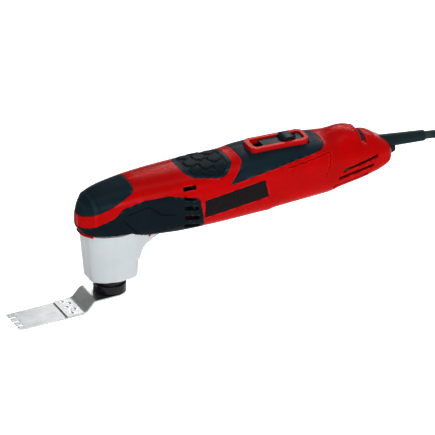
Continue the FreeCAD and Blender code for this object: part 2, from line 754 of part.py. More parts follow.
def cord_entry():
    run = (BOOT_END - BOOT_ROOT).normalize()
    outside = along(BOOT_ROOT, BOOT_END, 6.0, 4.7)
    collar = along(BOOT_ROOT, BOOT_ROOT + run * 4.0, 7.6, 7.6)
    lead_bore = along(BOOT_ROOT - run * 12.0, BOOT_END + run, CORD_D / 2.0, CORD_D / 2.0)
    save("strain_relief", outside.fuse(collar).removeSplitter().cut(lead_bore))
    save("inner_cord", along(BOOT_ROOT - run * 9.0, BOOT_END, CORD_D / 2.0, CORD_D / 2.0))
    bell = along(V(258.0, 0, 69.3), V(266.6, 0, 69.3), 6.4, 4.6)
    mouth = along(V(260.0, 0, 69.3), V(267.0, 0, 69.3), 4.6, 3.7)
    boot = along(BOOT_ROOT, BOOT_END, 6.0 + FIT, 4.7 + FIT)
    save("cord_guard", largest(cut_all(bell, [mouth, boot])))
    base = box(238.0, 243.5, -9.0, 9.0, 69.0, 78.3)
    bar = box(238.0, 243.5, -9.0, 9.0, 78.5, 83.0)
    save("cord_clamp", Part.makeCompound([base.cut(lead_bore), bar.cut(lead_bore)]))


# ---- free cord and plug -------------------------------------------------------------------

def route_tube(name, route):
    """A tube along straight runs joined by tangent arcs as large as the runs allow."""
    points = [V(*p) for p in route]
    edges = []
    length = 0.0
    start = points[0]
    for before, corner, after in zip(points, points[1:], points[2:]):
        run_in = corner - before
        run_out = after - corner
        turn = run_in.getAngle(run_out)
        back = 0.45 * min(run_in.Length, run_out.Length)
        radius = back / math.tan(turn / 2.0)
        first = corner - run_in.normalize() * back
        last = corner + run_out.normalize() * back
        inward = ((first + last) * 0.5 - corner).normalize()
        middle = corner + inward * (radius / math.cos(turn / 2.0) - radius)
        edges.append(Part.LineSegment(start, first).toShape())
        edges.append(Part.Arc(first, middle, last).toShape())
        length += (first - start).Length + radius * turn
        start = last
        print(name, "bend radius", round(radius, 1), "turn", round(math.degrees(turn), 1))
    edges.append(Part.LineSegment(start, points[-1]).toShape())
    length += (points[-1] - start).Length
    path = Part.Wire(edges)
    direction = points[1] - points[0]
    circle = Part.makeCircle(CORD_D / 2.0, points[0], direction)
    tube = path.makePipeShell([Part.Wire(circle)], True, False)
    expected = math.pi * CORD_D ** 2 / 4.0 * length
    print(name, "length", round(length, 1), "volume ratio", round(tube.Volume / expected, 4))
    return tube


def cord():
    save("cord_lead", route_tube("cord_lead", LEAD_ROUTE))
    save("cord_tail", route_tube("cord_tail", TAIL_ROUTE))
    outer_r = HANK_INNER_R + (HANK_COLUMNS - 0.5) * CORD_D
    inner_r = HANK_INNER_R - CORD_D / 2.0
    top = FLOOR_Z + HANK_LAYERS * CORD_D
    hank = oval(outer_r, FLOOR_Z, top).cut(oval(inner_r, FLOOR_Z - 1, top + 1))
    save("cord_hank", hank)
    middle = HANK_X0 + outer_r + HANK_RUN / 2.0
    strap = box(middle - 5.0, middle + 5.0, -outer_r - 1.2, outer_r + 1.2, FLOOR_Z, top + 1.2)
    save("cord_tie", largest(strap.cut(box(middle - 6, middle + 6, -outer_r, outer_r, FLOOR_Z - 1, top))))


def oval(r, z0, z1):
    """An upright block with round ends, r from the hank's middle line."""
    x0 = HANK_X0 + HANK_INNER_R + (HANK_COLUMNS - 0.5) * CORD_D
    ends = [rod_z(z0, z1, r, x0, 0.0), rod_z(z0, z1, r, x0 + HANK_RUN, 0.0)]
    return fuse_all([box(x0, x0 + HANK_RUN, -r, r, z0, z1)] + ends)


def plug():
    end = V(*TAIL_ROUTE[-1])
    before = V(*TAIL_ROUTE[-2])
    heading = math.degrees(math.atan2(end.y - before.y, end.x - before.x))

    def placed(shape):
        result = shape.copy()
        result.rotate(V(0, 0, 0), Z_AXIS, heading)
        result.translate(V(end.x, end.y, FLOOR_Z))
        return result

    relief = along(V(0, 0, 8.5), V(26, 0, 8.5), CORD_D / 2.0, 6.0)
    plan = [(24, -10), (34, -17), (56, -17), (60, -14), (60, 14), (56, 17), (34, 17), (24, 10)]
    body = plan_prism(plan, 0.0, 17.0)
    save("plug_body", placed(relief.fuse(body).removeSplitter()))
    pins = [along(V(60, y, 8.5), V(79, y, 8.5), 2.4, 2.4) for y in (-9.5, 9.5)]
    save("plug_pins", placed(Part.makeCompound(pins)))


# ---- all pieces ---------------------------------------------------------------------------

os.makedirs("parts", exist_ok=True)
housing_shells()
housing_screws()
side_covers()
grips()
labels()
gear_head()
gear_case()
head_screws()
spindle_parts()
swing_fork()
blade()
clamp()
motor()
stator()
brush_gear()
switch_group()
dial_group()
cord_entry()
cord()
plug()
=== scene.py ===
import json
import math

import bmesh
import bpy
import numpy as np
from mathutils import Matrix, Vector


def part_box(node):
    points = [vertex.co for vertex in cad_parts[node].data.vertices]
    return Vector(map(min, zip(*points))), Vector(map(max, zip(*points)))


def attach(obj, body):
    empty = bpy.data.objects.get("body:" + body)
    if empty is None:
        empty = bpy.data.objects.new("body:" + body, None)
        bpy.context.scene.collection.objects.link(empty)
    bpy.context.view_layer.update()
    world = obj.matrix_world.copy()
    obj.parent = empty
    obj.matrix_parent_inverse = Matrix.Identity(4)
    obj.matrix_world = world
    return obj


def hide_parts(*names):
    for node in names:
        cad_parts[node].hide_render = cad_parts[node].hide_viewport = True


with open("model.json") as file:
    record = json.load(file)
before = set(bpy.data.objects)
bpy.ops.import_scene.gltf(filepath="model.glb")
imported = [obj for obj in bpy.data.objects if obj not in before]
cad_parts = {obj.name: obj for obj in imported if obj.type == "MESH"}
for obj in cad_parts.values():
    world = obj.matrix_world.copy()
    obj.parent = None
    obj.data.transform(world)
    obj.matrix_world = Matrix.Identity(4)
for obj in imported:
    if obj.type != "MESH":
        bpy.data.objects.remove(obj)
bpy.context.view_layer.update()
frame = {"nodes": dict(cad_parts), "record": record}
NODES = frame["nodes"]

MM = 0.001                                   # every length below is in metres
FLOOR_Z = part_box("saw_plate")[0].z           # the surface that the tool stands on
CORD_D = 7.0 * MM
CORD_FLOOR = FLOOR_Z + CORD_D / 2.0          # height of the cord's middle where it lies


# ---- camera -------------------------------------------------------------------------------

def make_camera():
    azimuth, elevation, distance = math.radians(-26.3), math.radians(30.5), 8.0
    target = Vector((100.7 * MM, 0.0, 42.1 * MM))
    back = Vector((
        math.sin(azimuth) * math.cos(elevation),
        -math.cos(azimuth) * math.cos(elevation),
        math.sin(elevation),
    ))
    data = bpy.data.cameras.new("camera")
    data.lens = 787.7
    data.sensor_width = 36.0
    data.clip_end = 20.0
    camera = bpy.data.objects.new("camera", data)
    bpy.context.scene.collection.objects.link(camera)
    camera.location = target + back * distance
    camera.rotation_mode = "QUATERNION"
    camera.rotation_quaternion = (-back).to_track_quat("-Z", "Y")
    bpy.context.scene.camera = camera


make_camera()


# ---- mesh helpers -------------------------------------------------------------------------

def link(name, data):
    obj = bpy.data.objects.new(name, data)
    bpy.context.scene.collection.objects.link(obj)
    return obj


def finish_mesh(name, bm, smooth_angle=32.0):
    """Makes an object of a bmesh, smooth except across sharp edges."""
    bmesh.ops.recalc_face_normals(bm, faces=bm.faces)
    sharp = math.radians(smooth_angle)
    for face in bm.faces:
        face.smooth = True
    for edge in bm.edges:
        edge.smooth = not (len(edge.link_faces) == 2 and edge.calc_face_angle(0.0) > sharp)
    mesh = bpy.data.meshes.new(name)
    bm.to_mesh(mesh)
    bm.free()
    return link(name, mesh)


def install(obj, body, material, slot, *nodes):
    """Paints a piece, makes it ride on its body, and hides the CAD nodes that it stands for."""
    obj.data.materials.clear()
    obj.data.materials.append(material)
    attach(obj, body)
    if nodes:
        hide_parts(*nodes)
    return obj


def bevel(obj, width, segments=2, angle=35.0):
    modifier = obj.modifiers.new("bevel", "BEVEL")
    modifier.width = width
    modifier.segments = segments
    modifier.limit_method = "ANGLE"
    modifier.angle_limit = math.radians(angle)
    modifier.harden_normals = False
    return obj


def grid_faces(bm, rows, close_rows=False, close_columns=False):
    """Joins rows of vertices with quads."""
    count = len(rows)
    width = len(rows[0])
    for i in range(count if close_rows else count - 1):
        a = rows[i]
        b = rows[(i + 1) % count]
        for j in range(width if close_columns else width - 1):
            k = (j + 1) % width
            bm.faces.new((a[j], a[k], b[k], b[j]))


def lathe(name, profile, turn, steps=72):
    """A turned piece: profile is a list of (radius, height), turn places it in the frame."""
    bm = bmesh.new()
    rows = []
    for radius, height in profile:
        row = []
        for i in range(steps):
            a = 2.0 * math.pi * i / steps
            row.append(bm.verts.new((radius * math.cos(a), radius * math.sin(a), height)))
        rows.append(row)
    grid_faces(bm, rows, close_columns=True)
    for row in (rows[0], rows[-1]):
        if (row[0].co - row[steps // 2].co).length > 1e-7:
            bm.faces.new(row)
    bmesh.ops.remove_doubles(bm, verts=bm.verts, dist=1e-7)
    bmesh.ops.transform(bm, matrix=turn, verts=bm.verts)
    return finish_mesh(name, bm)


def rounded_profile(points, radius, steps=4):
    """Rounds the inner corners of a (radius, height) profile."""
    result = [points[0]]
    for before, corner, after in zip(points, points[1:], points[2:]):
        p, c, n = Vector(before), Vector(corner), Vector(after)
        back = min(radius, (c - p).length * 0.45, (n - c).length * 0.45)
        first = c + (p - c).normalized() * back
        last = c + (n - c).normalized() * back
        for i in range(steps + 1):
            t = i / steps
            result.append(tuple(first * (1 - t) ** 2 + c * 2 * t * (1 - t) + last * t ** 2))
    result.append(points[-1])
    return result


def smooth_table(x, places, values, window):
    """Reads a table at x, with its corners rounded over the window."""
    total = 0.0
    shifts = (-1.0, -0.6, -0.2, 0.2, 0.6, 1.0)
    for shift in shifts:
        total = total + np.interp(x + shift * window / 2.0, places, values)
    return total / len(shifts)


# ---- materials ----------------------------------------------------------------------------

def new_material(name):
    material = bpy.data.materials.new(name)
    material.use_nodes = True
    tree = material.node_tree
    return material, tree, tree.nodes["Principled BSDF"]


def add_noise(tree, scale, detail=4.0, stretch=(1.0, 1.0, 1.0)):
    coordinates = tree.nodes.new("ShaderNodeTexCoord")
    mapping = tree.nodes.new("ShaderNodeMapping")
    mapping.inputs["Scale"].default_value = stretch
    noise = tree.nodes.new("ShaderNodeTexNoise")
    noise.inputs["Scale"].default_value = scale
    noise.inputs["Detail"].default_value = detail
    tree.links.new(coordinates.outputs["Object"], mapping.inputs["Vector"])
    tree.links.new(mapping.outputs["Vector"], noise.inputs["Vector"])
    return noise


def add_ramp(tree, source, stops):
    ramp = tree.nodes.new("ShaderNodeValToRGB")
    elements = ramp.color_ramp.elements
    while len(elements) < len(stops):
        elements.new(0.5)
    for element, (place, colour) in zip(elements, stops):
        element.position = place
        element.color = (*colour, 1.0)
    tree.links.new(source, ramp.inputs["Fac"])
    return ramp


def add_bump(tree, shader, heights):
    """Chains bumps: heights is a list of (output, strength, distance in metres)."""
    last = None
    for source, strength, distance in heights:
        bump = tree.nodes.new("ShaderNodeBump")
        bump.inputs["Strength"].default_value = strength
        bump.inputs["Distance"].default_value = distance
        tree.links.new(source, bump.inputs["Height"])
        if last:
            tree.links.new(last.outputs["Normal"], bump.inputs["Normal"])
        last = bump
    tree.links.new(last.outputs["Normal"], shader.inputs["Normal"])


def edge_wear_and_highlight(tree, base, wear_and_highlight_colour, low=0.505, high=0.57):
    """Mixes a lighter colour into convex edges: partly wear, partly a painted highlight along the
    edges.
    """
    geometry = tree.nodes.new("ShaderNodeNewGeometry")
    ramp = add_ramp(tree, geometry.outputs["Pointiness"], [(low, (0, 0, 0)), (high, (1, 1, 1))])
    mix = tree.nodes.new("ShaderNodeMix")
    mix.data_type = "RGBA"
    tree.links.new(ramp.outputs["Color"], mix.inputs["Factor"])
    tree.links.new(base, mix.inputs[6])
    mix.inputs[7].default_value = (*wear_and_highlight_colour, 1.0)
    return mix.outputs[2]


def moulded(name, dark, light, wear_and_highlight_colour, rough, grain, coat=0.0, grain_scale=2600.0):
    """Moulded plastic or rubber: mottled colour, fine erosion grain, faint flow marks, and convex
    edges lightened as wear and as a painted highlight.
    """
    material, tree, shader = new_material(name)
    mottle = add_noise(tree, 38.0, 5.0)
    colour = add_ramp(tree, mottle.outputs["Fac"], [(0.3, dark), (0.7, light)])
    tree.links.new(edge_wear_and_highlight(tree, colour.outputs["Color"], wear_and_highlight_colour), shader.inputs["Base Color"])
    smudge = add_noise(tree, 90.0, 6.0)
    low, high = rough
    roughness = add_ramp(tree, smudge.outputs["Fac"], [(0.3, (low,) * 3), (0.75, (high,) * 3)])
    tree.links.new(roughness.outputs["Color"], shader.inputs["Roughness"])
    fine = add_noise(tree, grain_scale, 2.0)
    flow = add_noise(tree, 55.0, 2.0, (1.0, 1.0, 1.0))
    add_bump(tree, shader,
             [(fine.outputs["Fac"], grain, 0.00008), (flow.outputs["Fac"], 0.05, 0.0006)])
    shader.inputs["Specular IOR Level"].default_value = 0.05
    shader.inputs["Coat Weight"].default_value = coat
    shader.inputs["Coat Roughness"].default_value = 0.12
    return material


def metal(name, dark, light, rough, stretch, scale=420.0, bump=0.12, metallic=1.0):
    """Metal with a direction of grinding or casting, scratches and stained patches."""
    material, tree, shader = new_material(name)
    lines = add_noise(tree, scale, 5.0, stretch)
    patches = add_noise(tree, 60.0, 4.0)
    mix = tree.nodes.new("ShaderNodeMath")
    mix.operation = "MULTIPLY_ADD"
    mix.inputs[1].default_value = 0.5
    tree.links.new(lines.outputs["Fac"], mix.inputs[0])
    half = tree.nodes.new("ShaderNodeMath")
    half.operation = "MULTIPLY"
    half.inputs[1].default_value = 0.5
    tree.links.new(patches.outputs["Fac"], half.inputs[0])
    tree.links.new(half.outputs["Value"], mix.inputs[2])
    colour = add_ramp(tree, mix.outputs["Value"], [(0.35, dark), (0.65, light)])
    tree.links.new(colour.outputs["Color"], shader.inputs["Base Color"])
    low, high = rough
    roughness = add_ramp(tree, lines.outputs["Fac"], [(0.3, (low,) * 3), (0.7, (high,) * 3)])
    tree.links.new(roughness.outputs["Color"], shader.inputs["Roughness"])
    shader.inputs["Metallic"].default_value = metallic
    add_bump(tree, shader, [(lines.outputs["Fac"], bump, 0.00006)])
    return material


def winding(name, dark, light):
    """Lacquered copper wire laid side by side."""
    material, tree, shader = new_material(name)
    coordinates = tree.nodes.new("ShaderNodeTexCoord")
    wave = tree.nodes.new("ShaderNodeTexWave")
    wave.inputs["Scale"].default_value = 420.0
    wave.inputs["Distortion"].default_value = 1.6
    tree.links.new(coordinates.outputs["Object"], wave.inputs["Vector"])
    colour = add_ramp(tree, wave.outputs["Fac"], [(0.1, dark), (0.8, light)])
    tree.links.new(colour.outputs["Color"], shader.inputs["Base Color"])
    shader.inputs["Metallic"].default_value = 0.8
    shader.inputs["Roughness"].default_value = 0.32
    add_bump(tree, shader, [(wave.outputs["Fac"], 0.6, 0.0003)])
    return material


def label_film(name):
    """A dark printed film with a fine hexagonal speckle."""
    material, tree, shader = new_material(name)
    coordinates = tree.nodes.new("ShaderNodeTexCoord")
    cells = tree.nodes.new("ShaderNodeTexVoronoi")
    cells.inputs["Scale"].default_value = 900.0
    tree.links.new(coordinates.outputs["Object"], cells.inputs["Vector"])
    colour = add_ramp(tree, cells.outputs["Distance"],
                      [(0.2, (0.016, 0.012, 0.014)), (0.8, (0.006, 0.005, 0.006))])
    tree.links.new(colour.outputs["Color"], shader.inputs["Base Color"])
    smudge = add_noise(tree, 120.0)
    roughness = add_ramp(tree, smudge.outputs["Fac"], [(0.3, (0.26,) * 3), (0.7, (0.38,) * 3)])
    tree.links.new(roughness.outputs["Color"], shader.inputs["Roughness"])
    shader.inputs["Specular IOR Level"].default_value = 0.06
    add_bump(tree, shader, [(cells.outputs["Distance"], 0.08, 0.00005)])
    return material


# The third colour of each moulded material is its lighter convex-edge colour: part wear, part painted
# highlight.
RED = moulded("red_plastic", (0.29, 0.0008, 0.0012), (0.35, 0.001, 0.0016), (0.50, 0.02, 0.02),
              (0.24, 0.33), 0.06)
GRIP = moulded("grip_rubber", (0.0055, 0.0145, 0.021), (0.009, 0.0205, 0.029),
               (0.045, 0.075, 0.09), (0.34, 0.46), 0.3)
TREAD = moulded("grip_tread", (0.004, 0.009, 0.012), (0.006, 0.013, 0.017), (0.015, 0.026, 0.03),
                (0.4, 0.52), 0.8,
                0.0, 620.0)
COVER = moulded("cover_plastic", (0.0035, 0.009, 0.013), (0.006, 0.013, 0.018),
                (0.02, 0.034, 0.04), (0.28, 0.38), 0.25)
BLACK = moulded("black_plastic", (0.012, 0.014, 0.016), (0.022, 0.025, 0.028), (0.05, 0.05, 0.055),
                (0.36, 0.5), 0.3)
CORD = moulded("cord_rubber", (0.008, 0.018, 0.02), (0.014, 0.026, 0.03), (0.03, 0.045, 0.05),
               (0.34, 0.46), 0.2)
SEAL = moulded("seal_rubber", (0.01, 0.01, 0.01), (0.02, 0.02, 0.02), (0.03, 0.03, 0.03),
               (0.6, 0.75), 0.3)
CARBON = moulded("carbon", (0.02, 0.02, 0.02), (0.05, 0.05, 0.05), (0.08, 0.08, 0.08), (0.5, 0.7),
                 0.4)
WHITE = moulded("white_enamel", (0.37, 0.395, 0.41), (0.40, 0.42, 0.435), (0.43, 0.44, 0.45),
                (0.28, 0.36), 0.05, 0.2, 900.0)
BOARD = moulded("board", (0.01, 0.09, 0.03), (0.02, 0.16, 0.06), (0.1, 0.25, 0.1), (0.25, 0.4),
                0.1)
FILM = moulded("capacitor_film", (0.45, 0.33, 0.05), (0.6, 0.45, 0.08), (0.7, 0.55, 0.15),
               (0.3, 0.4), 0.1)
ALU = metal("cast_aluminium", (0.42, 0.43, 0.44), (0.6, 0.61, 0.62), (0.38, 0.55), (1, 1, 1),
            700.0, 0.3)
STEEL = metal("steel", (0.42, 0.42, 0.43), (0.6, 0.6, 0.61), (0.22, 0.36), (0.1, 1, 1))
BLADE = metal("blade_steel", (0.36, 0.37, 0.37), (0.52, 0.53, 0.53), (0.3, 0.42), (0.05, 1, 1),
              1400.0, 0.12)
BEARING = metal("bearing_steel", (0.6, 0.6, 0.61), (0.75, 0.75, 0.76), (0.1, 0.2), (1, 1, 1),
                300.0, 0.03)
LAMINATION = metal("lamination", (0.14, 0.14, 0.15), (0.32, 0.32, 0.33), (0.35, 0.5),
                   (6, 0.05, 0.05), 300.0, 0.5)
OXIDE = metal("black_gloss", (0.008, 0.008, 0.01), (0.02, 0.02, 0.022), (0.12, 0.24), (1, 1, 0.1),
              300.0, 0.05, 0.6)
SCREW = metal("black_screw", (0.03, 0.03, 0.032), (0.08, 0.08, 0.085), (0.25, 0.4), (1, 1, 1),
              900.0, 0.1, 0.9)
PIN = metal("pin_metal", (0.6, 0.59, 0.56), (0.75, 0.74, 0.7), (0.14, 0.24), (1, 1, 1), 500.0,
            0.05)
BRASS = metal("brass", (0.5, 0.34, 0.12), (0.72, 0.52, 0.22), (0.2, 0.35), (1, 1, 1), 500.0, 0.1)
COPPER = winding("copper", (0.28, 0.07, 0.03), (0.62, 0.24, 0.1))
LABEL = label_film("label_film")

SLOT_MATERIALS = {
    "red_plastic": RED, "grip_rubber": GRIP, "cover_plastic": COVER, "label_film": LABEL,
    "white_enamel": WHITE, "cast_aluminium": ALU, "black_gloss": OXIDE, "steel": STEEL,
    "bearing_steel": BEARING, "blade_steel": BLADE, "black_screw": SCREW, "seal_rubber": SEAL,
    "lamination": LAMINATION, "copper": COPPER, "black_plastic": BLACK, "carbon": CARBON,
    "brass": BRASS, "board": BOARD, "capacitor_film": FILM, "cord_rubber": CORD, "pin_metal": PIN,
}


def paint_cad_nodes():
    for row in frame["record"]["subparts"]:
        data = NODES[row["node"]].data
        data.materials.clear()
        data.materials.append(SLOT_MATERIALS[row["material_slot"]])


paint_cad_nodes()


# ---- the cord, its hank and its tail ------------------------------------------------------

LEAD_SLOPE = 0.116
LEAD_ROUTE = [
    (296.0, 0.0, 72.2),
    (312.0, 0.0, 72.2 - 16.0 * LEAD_SLOPE),
    (332.0, 1.5, 62.6),
    (349.0, 4.5, 48.5),
    (363.0, 8.5, 33.0),
    (379.0, 14.0, 17.5),
    (398.0, 20.5, 4.2),
    (421.0, 26.0, -4.4),
]
HANK_LEFT_X = 451.5 * MM
HANK_RUN = 45.0 * MM
HANK_INNER_R = 3.0 * CORD_D
HANK_COLUMN = [1, 0, 0, 1, 1, 0, 0, 1]       # which column each turn lies in, from the inside
HANK_LAYER = [0, 0, 1, 1, 2, 2, 3, 3]
HANK_TURNS = len(HANK_LAYER)
END_POINTS = 6                               # points round each end of a turn
TAIL_ROUTE = [
    (439.0, -28.4, 13.2),
    (425.0, -28.6, 8.3),
    (411.0, -28.5, 1.3),
    (397.0, -28.2, -2.1),
    (383.0, -27.8, -2.1),
]


def hank_points():
    """Oval turns: inwards on the floor, outwards on them, and inwards again on top."""
    places = []
    for turn in range(HANK_TURNS):
        radius = HANK_INNER_R + HANK_COLUMN[turn] * CORD_D
        height = CORD_FLOOR + HANK_LAYER[turn] * CORD_D
        places.append((HANK_LEFT_X + 0.25 * HANK_RUN, radius, height))
        places.append((HANK_LEFT_X + 0.75 * HANK_RUN, radius, height))
        for i in range(END_POINTS):
            a = math.pi / 2.0 - math.pi * (i + 0.5) / END_POINTS
            wide = radius / math.cos(math.pi / 2.0 / END_POINTS) ** 0.7
            places.append((HANK_LEFT_X + HANK_RUN + wide * math.cos(a), wide * math.sin(a),
                           height))
        places.append((HANK_LEFT_X + 0.75 * HANK_RUN, -radius, height))
        places.append((HANK_LEFT_X + 0.25 * HANK_RUN, -radius, height))
        if turn == HANK_TURNS - 1:
            break
        after = HANK_INNER_R + HANK_COLUMN[turn + 1] * CORD_D
        above = CORD_FLOOR + HANK_LAYER[turn + 1] * CORD_D
        for i in range(END_POINTS):
            t = (i + 0.5) / END_POINTS
            a = -math.pi / 2.0 - math.pi * t
            wide = (radius + (after - radius) * t) / math.cos(math.pi / 2.0 / END_POINTS) ** 0.7
            rise = height + (above - height) * t
            places.append((HANK_LEFT_X + wide * math.cos(a), wide * math.sin(a), rise))
    return [Vector(p) for p in places]


def cord_points():
    lead = [Vector(p) * MM for p in LEAD_ROUTE]
    tail = [Vector(p) * MM for p in TAIL_ROUTE]
    return lead + hank_points() + tail


def spline_curve(name, points, radius):
    curve = bpy.data.curves.new(name, "CURVE")
    curve.dimensions = "3D"
    curve.bevel_depth = radius
    curve.bevel_resolution = 6
    curve.use_fill_caps = True
    curve.resolution_u = 8
    spline = curve.splines.new("NURBS")
    spline.points.add(len(points) - 1)
    for point, place in zip(spline.points, points):
        point.co = (*place, 1.0)
    spline.order_u = 3
    spline.use_endpoint_u = True
    return link(name, curve)


def curve_length(points):
    """The length of the line itself, measured on a bare copy."""
    bare = spline_curve("bare_line", points, 0.0)
    mesh = bpy.data.meshes.new_from_object(bare)
    places = [v.co.copy() for v in mesh.vertices]
    bpy.data.meshes.remove(mesh)
    bpy.data.objects.remove(bare)
    return sum((b - a).length for a, b in zip(places, places[1:]))


flex = spline_curve("mains_cord", cord_points(), CORD_D / 2.0)
install(flex, "housing", CORD, "cord_rubber", "cord_lead", "cord_hank", "cord_tail")


def bounds_report():
    bpy.context.view_layer.update()


CORD_LENGTH = round(curve_length(cord_points()), 3)


# ---- the red body, its covers, grips and labels ---------------------------------------------

# Sections across the body: place along X, half width, bottom, top, squareness, all in millimetres.
STATIONS = np.array([
    (-31.2, 3.4, 69.0, 80.5, 3.4),
    (-30.4, 4.9, 66.6, 83.0, 3.4),
    (-26.6, 10.0, 61.8, 89.4, 3.2),
    (-20.6, 16.6, 60.4, 94.4, 3.0),
    (-11.0, 20.2, 58.8, 97.4, 2.8),
    (0.0, 22.3, 57.2, 99.4, 2.7),
    (12.0, 23.4, 55.8, 100.8, 2.7),
    (20.0, 24.0, 54.6, 101.8, 2.7),
    (40.0, 25.6, 51.6, 102.3, 2.8),
    (60.0, 27.0, 48.4, 102.3, 2.8),
    (80.0, 28.0, 47.1, 102.0, 2.8),
    (96.0, 28.1, 46.9, 101.2, 2.8),
    (110.0, 28.1, 46.9, 101.2, 2.8),
    (122.0, 28.1, 46.9, 102.3, 3.0),
    (138.0, 28.0, 46.9, 102.1, 3.2),
    (143.0, 28.0, 48.2, 101.9, 3.2),
    (180.0, 27.2, 49.1, 99.3, 3.1),
    (199.0, 26.0, 49.4, 96.4, 3.1),
    (202.0, 25.8, 51.2, 95.8, 3.1),
    (230.0, 22.9, 54.7, 89.4, 3.0),
    (247.0, 19.7, 58.2, 84.4, 2.9),
    (254.5, 16.6, 60.8, 81.6, 2.8),
    (257.4, 14.4, 62.6, 79.6, 2.6),
    (258.0, 12.4, 64.4, 77.8, 2.5),
])
# The squareness of the lower half along the body.
LOWER_PLACES, LOWER_POWER = [-28.0, -20.0, 0.0, 20.0, 40.0, 60.0, 80.0], [3.4, 4.6, 5.8, 6.0, 4.8,
                                                                          3.6, 3.1]
# The hump in front of the speed dial.
HUMP = np.array([
    (188.0, 16.0, 76.0, 88.0, 2.3),
    (196.0, 17.6, 74.0, 94.6, 2.3),
    (202.0, 17.6, 74.0, 97.4, 2.3),
    (208.0, 17.4, 74.0, 99.0, 2.3),
    (214.0, 17.0, 74.0, 100.0, 2.3),
    (219.0, 16.6, 74.0, 100.2, 2.3),
    (225.0, 15.8, 74.0, 99.3, 2.3),
    (229.3, 14.8, 74.0, 97.6, 2.3),
    (229.9, 13.4, 74.0, 86.0, 2.3),
])
# The low bump behind the dial.
TAIL_BUMP = np.array([
    (234.6, 12.0, 74.0, 89.5, 2.3),
    (235.4, 13.6, 74.0, 92.0, 2.3),
    (239.0, 13.4, 74.0, 91.6, 2.3),
    (244.0, 12.6, 74.0, 89.6, 2.3),
    (250.0, 11.0, 72.0, 85.0, 2.3),
    (255.0, 8.0, 70.0, 80.0, 2.3),
])


def shape_distance(table, x, y, z, window):
    """A rough distance in mm from a run of squarish sections."""
    half, low, high, power = (smooth_table(x, table[:, 0], table[:, k],
                                           window) for k in (1, 2, 3, 4))
    middle, tall = (low + high) / 2.0, (high - low) / 2.0
    lower = np.maximum(power, np.interp(x, LOWER_PLACES, LOWER_POWER))
    power = np.where(z < middle, lower, power)
    reach = (np.abs(y / half) ** power + np.abs((z - middle) / tall) ** power) ** (1.0 / power)
    outside = np.maximum(table[0, 0] - x, x - table[-1, 0])
    return (reach - 1.0) * np.minimum(half, tall) + np.maximum(outside, 0.0) * 40.0


def smooth_min(a, b, blend):
    t = np.clip(0.5 + 0.5 * (b - a) / blend, 0.0, 1.0)
    return b * (1.0 - t) + a * t - blend * t * (1.0 - t)


def body_distance(x, y, z):
    window = np.where(x < -18.0, 0.9, np.where(x > 250.0, 1.6, 9.0))
    window = np.where((x > 134.0) & (x < 147.0), 2.0, window)
    main = shape_distance(STATIONS, x, y, z, window)
    hump = shape_distance(HUMP, x, y, z, np.where(x < 228.6, 5.0, 0.6))
    bump = shape_distance(TAIL_BUMP, x, y, z, np.where(x > 236.5, 3.0, 0.6))
    return smooth_min(smooth_min(main, hump, 3.5), bump, 2.0)


def body_points(x, angles):
    """Where rays from the middle of the body at x leave it, as (y, z) in mm."""
    middle = np.interp(x, STATIONS[:, 0], (STATIONS[:, 2] + STATIONS[:, 3]) / 2.0)
    near, far = np.zeros_like(angles), np.full_like(angles, 60.0)
    for _ in range(30):
        r = (near + far) / 2.0
        inside = body_distance(np.full_like(r, x), -r * np.sin(angles),
                               middle + r * np.cos(angles)) < 0.0
        near = np.where(inside, r, near)
        far = np.where(inside, far, r)
    return -near * np.sin(angles), middle + near * np.cos(angles)


def even_points(y, z, count):
    """The same line with its points spread evenly along it."""
    run = np.concatenate(([0.0], np.cumsum(np.hypot(np.diff(y), np.diff(z)))))
    places = np.linspace(0.0, run[-1], count)
    return np.interp(places, run, y), np.interp(places, run, z)


def half_body_mesh():
    """The left half of the outside, from the top middle line round to the bottom one."""
    bm = bmesh.new()
    places = list(np.arange(-31.2, -20.0, 0.7)) + list(np.arange(-20.0, 228.4, 1.35))
    places += list(np.arange(228.6, 236.0, 0.4)) + list(np.arange(236.2, 254.0, 1.3))
    places += list(np.arange(254.2, 258.01, 0.38))
    angles = np.linspace(0.0, math.pi, 400)
    rows = []
    for x in places:
        y, z = even_points(*body_points(x, angles), 72)
        y[0] = y[-1] = 0.0
        rows.append([bm.verts.new((x * MM, a * MM, b * MM)) for a, b in zip(y, z)])
    grid_faces(bm, rows)
    for row in (rows[0], rows[-1]):
        middle = (row[0].co + row[-1].co) / 2.0
        rings = [row]
        for scale in (0.66, 0.33):
            rings.append([bm.verts.new(middle + (v.co - middle) * scale) for v in row])
        grid_faces(bm, rings)
        bm.faces.new(rings[-1])
    bmesh.ops.recalc_face_normals(bm, faces=bm.faces)
    return bm


def rounded_outline(points, radius, steps=3):
    """A closed outline with rounded corners."""
    result = []
    count = len(points)
    for i in range(count):
        before, corner, after = (Vector(points[(i + k) % count]) for k in (-1, 0, 1))
        turn = (corner - before).angle(after - corner)
        if turn < math.radians(8.0):
            result.append(tuple(corner))
            continue
        back = min(radius, (corner - before).length * 0.45, (after - corner).length * 0.45)
        first = corner + (before - corner).normalized() * back
        last = corner + (after - corner).normalized() * back
        for k in range(steps + 1):
            t = k / steps
            result.append(tuple(first * (1 - t) ** 2 + corner * 2 * t * (1 - t) + last * t ** 2))
    return result


def inside_outline(outline, a, b):
    result = False
    count = len(outline)
    for i in range(count):
        (a0, b0), (a1, b1) = outline[i], outline[(i + 1) % count]
        if (b0 > b) != (b1 > b) and a < a0 + (b - b0) * (a1 - a0) / (b1 - b0):
            result = not result
    return result


